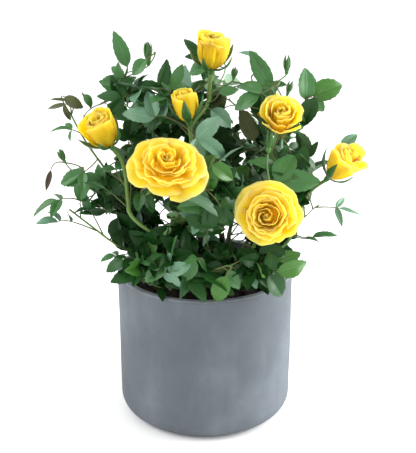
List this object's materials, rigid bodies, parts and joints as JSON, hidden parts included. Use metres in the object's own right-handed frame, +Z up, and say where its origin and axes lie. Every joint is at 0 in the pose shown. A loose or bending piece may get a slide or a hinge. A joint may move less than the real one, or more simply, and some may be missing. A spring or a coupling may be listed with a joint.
{
  "type": "potted rose bush",
  "caption": "Bushy small rose with yellow flowers standing in a plain round grey pot filled with soil.",
  "frame": {"origin": "centre of the pot's flat underside", "axes": "+Z up along the pot's axis, -Y the side that the largest flowers face, +X to their right"},
  "size_m": [0.2564, 0.2178, 0.3088],
  "materials": {
    "pot": "matte, fine-grained, like cast cement",
    "soil": "crumbly, matte",
    "cane": "green bark, satin",
    "petal": "soft, velvety",
    "leaf": "satin, veined"
  },
  "bodies": {
    "root": {"cane_back_left": "cane", "cane_back_right": "cane", "cane_front": "cane", "cane_front_left": "cane", "cane_front_right": "cane", "cane_left": "cane", "cane_left_spray": "cane", "cane_right": "cane", "flower_back_cup": "petal", "flower_back_low": "petal", "flower_back_open": "petal", "flower_far_left": "petal", "flower_far_right": "petal", "flower_open_left": "petal", "flower_open_right": "petal", "flower_small": "petal", "flower_top": "petal", "flower_upper_right": "petal", "leaves_back_left": "leaf", "leaves_back_right": "leaf", "leaves_left": "leaf", "leaves_low_back": "leaf", "leaves_low_front_left": "leaf", "leaves_low_front_right": "leaf", "leaves_low_left": "leaf", "leaves_low_middle": "leaf", "leaves_low_right": "leaf", "leaves_middle": "leaf", "leaves_right": "leaf", "leaves_top_back": "leaf", "leaves_top_left": "leaf", "leaves_top_middle": "leaf", "leaves_top_right": "leaf", "pot": "pot", "shoot_left_high": "cane", "soil": "soil", "spray_back_high": "leaf", "spray_back_low": "leaf", "spray_front": "leaf", "spray_front_right": "leaf", "spray_left_high": "leaf", "spray_left_low": "leaf", "spray_left_middle": "leaf", "spray_left_outer": "leaf", "spray_left_rim": "leaf", "spray_right_high": "leaf", "spray_right_low": "leaf", "spray_top_left": "leaf", "spray_top_right": "leaf", "spray_upper_left": "leaf", "stalk_back_cup": "cane", "stalk_back_low": "cane", "stalk_back_open": "cane", "stalk_far_left": "cane", "stalk_far_right": "cane", "stalk_open_left": "cane", "stalk_open_right": "cane", "stalk_small": "cane", "stalk_top": "cane", "stalk_upper_right": "cane"}
  },
  "joints": []
}
